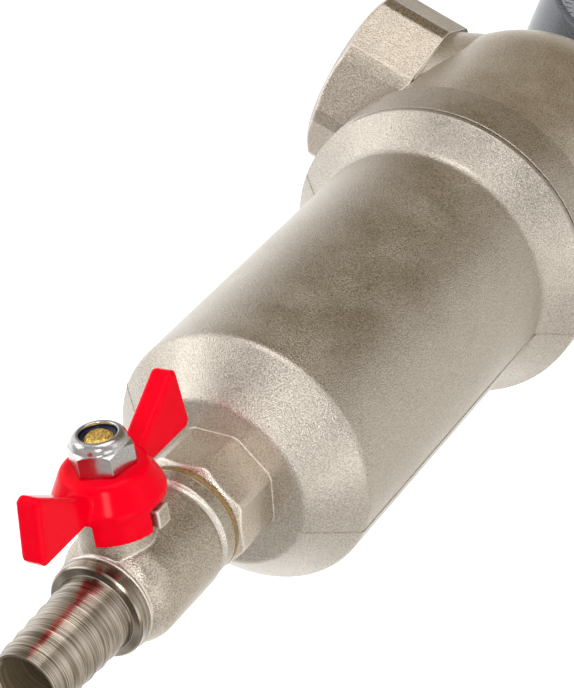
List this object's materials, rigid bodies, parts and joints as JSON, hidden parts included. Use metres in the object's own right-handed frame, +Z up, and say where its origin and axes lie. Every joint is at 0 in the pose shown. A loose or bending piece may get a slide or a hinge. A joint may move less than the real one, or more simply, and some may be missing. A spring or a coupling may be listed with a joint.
{
  "type": "self cleaning water filter",
  "caption": "Inline water filter with octagonal threaded pipe ports, a screwed-on screen bowl, a pressure gauge on top and a winged drain ball valve with a hose tail below",
  "frame": {"origin": "centre of the inlet port's mouth", "axes": "+X along the pipe from inlet to outlet, +Z up through the gauge, -Y the front of the gauge dial"},
  "size_m": [0.0832, 0.0636, 0.2777],
  "materials": {
    "nickel_casting": "nickel-plated cast brass, shot-blasted satin",
    "nickel_turned": "nickel-plated turned brass, bright with turning lines",
    "seal_rubber": "matt black",
    "stainless": "plain stainless",
    "white_plastic": "moulded, matt",
    "copper_washer": "soft copper",
    "movement_brass": "plain brass and bronze",
    "case_plastic": "glossy dark grey",
    "window_clear": "clear, cool tint",
    "dial_white": "white with black scale",
    "pointer_black": "matt black",
    "zinc_steel": "bright zinc plate",
    "amber_seal": "amber sealing ring",
    "ptfe": "white, waxy",
    "chromed_ball": "polished chrome",
    "stem_brass": "rough cut yellow brass",
    "red_paint": "glossy red",
    "navy_nylon": "dark navy"
  },
  "bodies": {
    "housing": {"head": "nickel_casting", "bowl": "nickel_casting", "bowl_gasket": "seal_rubber", "screen_mesh": "stainless", "screen_cage": "stainless", "screen_top_ring": "white_plastic", "screen_end_plate": "white_plastic", "throat_seal": "seal_rubber", "gauge_washer": "copper_washer", "gauge_socket": "movement_brass", "gauge_case": "case_plastic", "gauge_window": "window_clear", "gauge_dial": "dial_white", "dial_screws": "zinc_steel", "pressure_tube": "movement_brass", "tube_tip": "movement_brass", "movement_back_plate": "movement_brass", "movement_front_plate": "movement_brass", "movement_pillars": "movement_brass", "movement_screws": "zinc_steel", "joint_seal": "amber_seal", "valve_body": "nickel_casting", "hose_tail": "nickel_turned", "upper_seat": "ptfe", "lower_seat": "ptfe", "stem_washer": "ptfe"},
    "drain_lever": {"handle": "red_paint", "handle_nut": "zinc_steel", "nut_insert": "navy_nylon", "stem": "stem_brass", "stem_rings": "seal_rubber", "ball": "chromed_ball"},
    "sector": {"sector_gear": "movement_brass"},
    "link": {"tip_link": "movement_brass"},
    "needle": {"gauge_pointer": "pointer_black", "pinion": "movement_brass"}
  },
  "joints": [
    {"name": "drain_turn", "type": "hinge", "parent": "housing", "child": "drain_lever", "pos_m": [0.0416, 0, -0.1582], "axis": [0.454, 0.891, 0], "range_deg": [0, 90]},
    {"name": "sector_swing", "type": "hinge", "parent": "housing", "child": "sector", "pos_m": [0.03368, 0, 0.05548], "axis": [0, 1, 0], "range_deg": [-32.4, 0], "stiffness_Nm_per_rad": 0.004, "springref_deg": 2.86},
    {"name": "link_hang", "type": "hinge", "parent": "sector", "child": "link", "pos_m": [0.02936, 0, 0.05674], "axis": [0, 1, 0], "range_deg": [0, 32.4]},
    {"name": "needle_turn", "type": "hinge", "parent": "housing", "child": "needle", "pos_m": [0.0416, 0, 0.0634], "axis": [0, 1, 0], "range_deg": [0, 270]}
  ],
  "couplings": [
    {"joint": "needle_turn", "follows": "sector_swing", "ratio": -8.3333},
    {"joint": "link_hang", "follows": "sector_swing", "ratio": -1}
  ]
}
